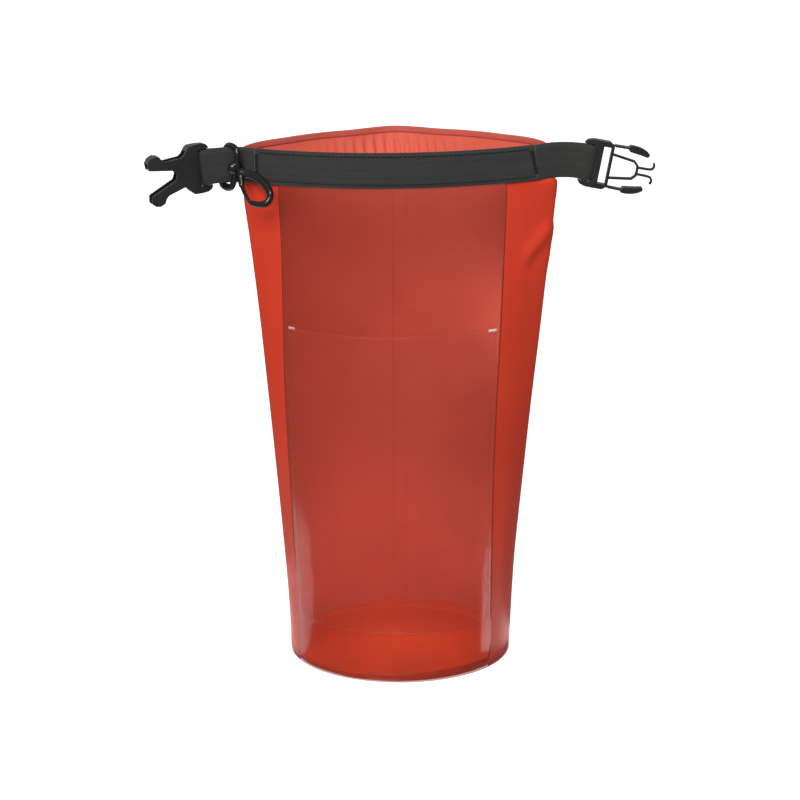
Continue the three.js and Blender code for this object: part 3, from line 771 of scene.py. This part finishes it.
def make_strap(strap, name, node, band_end):
    """The webbing leaves the band's end, goes out along the front, round the bar and back behind itself."""
    place = strap_frame(strap)
    back = place.inverted()
    side = strap["side"]
    end_point, end_up = band_point(band_end)
    near_point, _ = band_point(band_end + side * -0.004)
    start = back @ end_point
    heading = (back.to_3x3() @ (end_point - near_point)).normalized()
    bar = STRAP_START + strap["reach"]
    ply = WEB_THICK / 2 + 0.12 * MM
    front = -ply

    def spread(x):
        return lerp(ply, LOOP_RADIUS, smooth((x - bar + 9 * MM) / (9 * MM)))

    join = Vector((STRAP_START, front, 0))
    span = (join - start).length
    straight = Vector((span, 0, 0))
    lead = 24
    path = [hermite(start, heading * span, join, straight, i / lead) for i in range(lead)]
    leg = 22
    for i in range(leg):
        x = lerp(STRAP_START, bar, i / leg)
        path.append(Vector((x, -spread(x), 0)))
    turns = 20
    for i in range(turns + 1):
        angle = -math.pi / 2 + math.pi * i / turns
        reach = (LOOP_RADIUS + strap["slack"]) * math.cos(angle)
        path.append(Vector((bar + reach, LOOP_RADIUS * math.sin(angle), 0)))
    for i in range(leg - 1, -1, -1):
        x = lerp(STRAP_START, bar, i / leg)
        path.append(Vector((x, spread(x), 0)))
    tail = 14
    behind = 2 * ply
    for i in range(1, tail + 1):
        over = hermite(start, heading * span, join, straight, 1 - i / lead)
        path.append(over + Vector((0, behind, 0)))

    level = back.to_3x3() @ end_up
    bent, ups = [], []
    for p in path:
        slant, drop = strap_bend(strap, p.x)
        from_band = smooth((p.x - start.x) / max(join.x - start.x, 1e-6))
        upright = level.lerp(Vector((0, 0, side)), from_band).normalized()
        lean = Vector((-math.sin(slant), 0, math.cos(slant)))
        up = upright if p.x < STRAP_START else lean * side
        bent.append(place @ Vector((p.x, p.y, p.z + drop)))
        ups.append(place.to_3x3() @ up)
    web = ribbon(name, bent, ups, WEB_WIDTH, WEB_THICK, WEBBING, None)
    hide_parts(node)
    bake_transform(web)


def buckle_frame(strap):
    """Origin on a buckle half's webbing bar, X towards its free end, Z along the bar."""
    end = STRAP_START + strap["reach"]
    place = strap_frame(strap) @ Matrix.Translation((end, 0, strap_bend(strap, end)[1]))
    droop = Matrix.Rotation(math.radians(-strap["lean"]), 4, "Y")
    turn = Matrix.Rotation(math.radians(-strap["turn"]), 4, "Z")
    return place @ droop @ turn


EDGE_BEVEL = 0.55 * MM


def round_edges(piece, material):
    """A moulded piece keeps its shape and gets rounded edges and its own material."""
    piece.data.materials.clear()
    piece.data.materials.append(material)
    weld = piece.modifiers.new("weld", "WELD")
    weld.merge_threshold = 0.01 * MM
    rounding = piece.modifiers.new("rounding", "BEVEL")
    rounding.width = EDGE_BEVEL
    rounding.segments = 3
    rounding.limit_method = "ANGLE"
    rounding.angle_limit = math.radians(38)
    rounding.use_clamp_overlap = True
    for polygon in piece.data.polygons:
        polygon.use_smooth = True
    normals = piece.modifiers.new("normals", "WEIGHTED_NORMAL")
    normals.keep_sharp = True


PRONGS = {"droop": 8.0, "from": 8 * MM, "over": 30 * MM, "longer": 0.05}


def make_socket():
    """The socket half, its two prongs drooping a little from the body that holds the webbing."""
    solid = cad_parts["buckle_socket"]
    place = buckle_frame(SOCKET)
    back = place.inverted() @ solid.matrix_world
    points = []
    for vertex in solid.data.vertices:
        p = back @ vertex.co
        out = max(p.x - PRONGS["from"], 0)
        angle = math.radians(PRONGS["droop"]) * smooth(out / PRONGS["over"] * 1.6)
        p.z += math.tan(angle) * out
        p.x += PRONGS["longer"] * out
        points.append(place @ p)
    faces = [tuple(polygon.vertices) for polygon in solid.data.polygons]
    socket = mesh_object("socket_half", points, faces, BLACK, "socket")
    round_edges(socket, BLACK)
    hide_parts("buckle_socket")


ARM_ROOT = {"from": 14.2, "to": 18.4, "height": 14.85, "radius": 0.85, "depth": 2.2, "flex": (16.2, 17.4)}


def make_arm_roots():
    """The thin root that joins each squeeze arm to the plug's frame."""
    place = buckle_frame(PLUG)
    for name, body, side in (("arm_root_upper", "upper_arm", 1), ("arm_root_lower", "lower_arm", -1)):
        reach = steps(ARM_ROOT["from"], ARM_ROOT["to"], 8)
        line = [(x, side * ARM_ROOT["height"], ARM_ROOT["radius"]) for x in reach]
        points, faces = rod(place, line, depth=ARM_ROOT["depth"], sides=12)
        root = mesh_object(name, points, faces, BLACK, None)
        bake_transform(root)


# ---------------------------------------------------------------- swivel snap hook

RING = {"at": 7.6 * MM, "tilt": 8, "turn": 52, "front": 9.2 * MM}
HOOK = {"turn": 45.5, "droop": 26}
EYE = {"radius": 4.9, "half": 4.3, "depth": 1.25}
# Lines of points (x, z, radius) in mm: the ring in the ring's frame, the hook, lug and gate in the hook's.
RING_LINE = (
    (9.6, 8, 1.9),
    (7.4, 12.8, 1.9),
    (2, 14.2, 1.9),
    (-3.4, 13.0, 1.9),
    (-5.8, 8.5, 1.9),
    (-5.9, 0, 1.9),
    (-5.8, -10, 1.9),
    (-3.6, -14.6, 2.4),
    (1.6, -15.6, 2.7),
    (7, -14.4, 2.4),
    (9.5, -9.5, 2.1),
    (9.7, 0, 2.0),
)
HOOK_LINE = (
    (0, -5.0, 2.7),
    (0.3, -6.8, 3.6),
    (1.7, -10, 3.1),
    (3.6, -13.6, 2.8),
    (5.0, -18.5, 2.9),
    (5.5, -25, 2.9),
    (4.6, -32.5, 2.7),
    (2.0, -38.0, 2.45),
    (-2.8, -40.0, 2.4),
    (-7.2, -37.0, 2.25),
    (-9.9, -32.2, 2.0),
    (-10.7, -29.6, 1.5),
)
LUG_LINE = ((0, -7.5, 2.8), (-3.4, -10.4, 2.3), (-6.2, -14.2, 1.9))
GATE_LINE = ((-6.3, -14.6, 1.4), (-8.3, -19.5, 1.35), (-10.0, -25, 1.3), (-10.7, -28.4, 1.15))


def ring_frame():
    """Origin in the middle of the strap, X towards the ring's front bar, Z up along the bar."""
    tilt, turn = math.radians(RING["tilt"]), math.radians(RING["turn"])
    up = Vector((math.sin(tilt), 0, math.cos(tilt)))
    right = Vector((math.cos(tilt), 0, -math.sin(tilt)))
    front = right * math.cos(turn) + Vector((0, -math.sin(turn), 0))
    origin = strap_frame(SOCKET) @ Vector((RING["at"], 0, 0))
    return basis(origin, front, up.cross(front), up)


def hook_frame():
    """Origin in the middle of the swivel's ball, Z up along the shank, Y through the hook's flat side."""
    turn, droop = math.radians(HOOK["turn"]), math.radians(HOOK["droop"])
    hang = Vector((-math.cos(turn) * math.cos(droop), math.sin(turn) * math.cos(droop), math.sin(droop)))
    flat = Vector((0, 0.96, -0.27))
    flat = (flat - hang * flat.dot(hang)).normalized()
    return basis(ring_frame() @ Vector((RING["front"], 0, 0)), flat.cross(hang), flat, hang)


def flowing(controls, closed=False, per=6):
    """Points (x, z, radius) of a smooth curve through a row of them."""
    count = len(controls)

    def at(i):
        return Vector(controls[i % count] if closed else controls[min(max(i, 0), count - 1)])

    line = []
    for i in range(count if closed else count - 1):
        a, b, c, d = (at(i + k) for k in (-1, 0, 1, 2))
        for k in range(per):
            line.append(hermite(b, (c - a) / 2, c, (d - b) / 2, k / per))
    return line if closed else line + [at(count - 1)]


def rod(place, line, closed=False, depth=1.0, sides=20):
    """A bar along points (x, z, radius in mm) of a frame's XZ plane, its section depth times as deep in Y."""
    line = [Vector(p) * MM for p in line]
    count = len(line)
    points, faces = [], []
    for i, (x, z, radius) in enumerate(line):
        before = line[i - 1] if closed or i else line[0]
        after = line[(i + 1) % count] if closed or i < count - 1 else line[-1]
        along = Vector((after.x - before.x, 0, after.y - before.y)).normalized()
        across = along.cross(Vector((0, 1, 0)))
        for k in range(sides):
            angle = 2 * math.pi * k / sides
            out = across * math.cos(angle) + Vector((0, math.sin(angle) * depth, 0))
            points.append(place @ (Vector((x, 0, z)) + out * radius))
    for i in range(count if closed else count - 1):
        for k in range(sides):
            a, b = i * sides + k, i * sides + (k + 1) % sides
            up = ((i + 1) % count) * sides
            faces.append((a, up + k, up + (k + 1) % sides, b))
    if not closed:
        faces.append(tuple(range(sides)))
        faces.append(tuple((count - 1) * sides + k for k in reversed(range(sides))))
    return points, faces


THINNEST = 0.02  # radius in mm at the very tip of a rounded end


def domed(line, rings=5):
    """The same line with both ends closed by half a ball."""
    caps = []
    for end, near in ((line[0], line[1]), (line[-1], line[-2])):
        away = Vector((end[0] - near[0], end[1] - near[1])).normalized()
        cap = []
        for k in range(1, rings + 1):
            angle = math.pi / 2 * k / rings
            reach = end[2] * math.sin(angle)
            radius = max(end[2] * math.cos(angle), THINNEST)
            cap.append(Vector((end[0] + away.x * reach, end[1] + away.y * reach, radius)))
        caps.append(cap)
    return list(reversed(caps[0])) + [Vector(p) for p in line] + caps[1]


def moulding(name, node, body, *rods):
    """One piece of black moulded plastic made of bars."""
    points, faces = [], []
    for more_points, more_faces in rods:
        first = len(points)
        points += more_points
        faces += [tuple(first + i for i in face) for face in more_faces]
    piece = mesh_object(name, points, faces, HOOK_BLACK, body)
    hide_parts(node)


def make_hook():
    ring, hook = ring_frame(), hook_frame()
    eye = [
        (RING["front"] / MM + EYE["half"] * math.cos(a), 0, max(EYE["radius"] * math.sin(a), THINNEST))
        for a in steps(0, math.pi, 20)
    ]
    loop = rod(ring, flowing(RING_LINE, closed=True), closed=True)
    moulding("ring_loop", "hook_ring", "ring", loop, rod(ring, eye, depth=EYE["depth"]))
    shank = domed([(0, -1.0, 1.6), (0, -9.0, 1.6)])
    moulding("swivel_shank", "swivel_stud", "stud", rod(hook, shank))
    spine = rod(hook, domed(flowing(HOOK_LINE)), depth=1.1)
    lug = rod(hook, domed(flowing(LUG_LINE)), depth=1.0)
    moulding("hook_spine", "hook_body", "hook", spine, lug)
    moulding("gate_bar", "hook_gate", "gate", rod(hook, domed(flowing(GATE_LINE)), depth=1.2))


# ---------------------------------------------------------------- stage, light and camera


FLOOR_HALF = 9.0
SURROUND = 0.42


def make_stage():
    """A wide white floor that glows, without a cast shadow and left out of reflections and bounced light."""
    corners = [Vector((x * FLOOR_HALF, y * FLOOR_HALF, 0)) for x, y in ((-1, -1), (1, -1), (1, 1), (-1, 1))]
    white = Shader("white_floor", (0.5, 0.5, 0.5), 0.9, Specular_IOR_Level=0.0)
    white.set("Emission Color", (1.0, 1.0, 1.0, 1.0))
    white.set("Emission Strength", 1.0)
    floor = mesh_object("floor", corners, [(0, 1, 2, 3)], white.material, None)
    floor.visible_glossy = False
    floor.visible_diffuse = False

    world = bpy.data.worlds.new("studio")
    world.use_nodes = True
    world.node_tree.nodes["Background"].inputs["Color"].default_value = (1, 1, 1, 1)
    world.node_tree.nodes["Background"].inputs["Strength"].default_value = SURROUND
    bpy.context.scene.world = world
    bpy.context.scene.view_settings.view_transform = "Standard"


def area_light(name, place, target, width, height, power, gloss_only=False):
    light = bpy.data.lights.new(name, "AREA")
    light.energy = power
    light.shape = "RECTANGLE"
    light.size = width
    light.size_y = height
    lamp = bpy.data.objects.new(name, light)
    bpy.context.scene.collection.objects.link(lamp)
    lamp.location = place
    lamp.visible_camera = False
    lamp.visible_diffuse = not gloss_only
    lamp.rotation_euler = (Vector(target) - Vector(place)).to_track_quat("-Z", "Y").to_euler()


GLOWS = (
    ("glow_base", (0.01, -0.01, 0.06), 0.13),
    ("glow_right", (0.05, -0.005, 0.24), 0.12),
)


def make_lights():
    """A soft key above the front, low gleams beside the base and the glow inside the walls."""
    middle = (0, 0, 0.2)
    area_light("key", (-0.5, -1.8, 1.6), middle, 1.4, 1.0, 52)
    area_light("shine", (0.2, -0.6, 1.6), middle, 0.5, 0.3, 6, gloss_only=True)
    for name, x, y, width, depth, power in (
        ("gleam_left", -0.235, 0.055, 0.31, 0.17, 0.32),
        ("gleam_right", 0.23, -0.012, 0.28, 0.085, 0.30),
    ):
        area_light(name, (x, y, 0.001), (x, y, 1), width, depth, power, gloss_only=True)
    for name, place, power in GLOWS:
        glow = bpy.data.lights.new(name, "POINT")
        glow.energy = power
        glow.shadow_soft_size = 0.03
        lamp = bpy.data.objects.new(name, glow)
        bpy.context.scene.collection.objects.link(lamp)
        lamp.location = place
        lamp.visible_camera = False
        lamp.visible_glossy = False


CAMERA = {"sensor": 36, "lens": 129.0, "place": (0, -2.0, 0.7431), "aim": (0, 0, 0.1877)}


def make_camera():
    camera = bpy.data.cameras.new("camera")
    camera.sensor_width = CAMERA["sensor"]
    camera.lens = CAMERA["lens"]
    rig = bpy.data.objects.new("camera", camera)
    bpy.context.scene.collection.objects.link(rig)
    place = Vector(CAMERA["place"])
    rig.location = place
    rig.rotation_euler = (Vector(CAMERA["aim"]) - place).to_track_quat("-Z", "Y").to_euler()
    bpy.context.scene.camera = rig


# ---------------------------------------------------------------- the whole bag

make_body()
make_base()
make_tapes()
make_pocket()
make_band()
make_stitching()
make_strap(SOCKET, "webbing_loop_left", "strap_left", BAND_ENDS[0])
make_strap(PLUG, "webbing_loop_right", "strap_right", BAND_ENDS[1])
make_socket()
for node in ("buckle_plug", "plug_arm_upper", "plug_arm_lower"):
    round_edges(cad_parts[node], BLACK)
make_arm_roots()
make_hook()
make_stage()
make_lights()
make_camera()
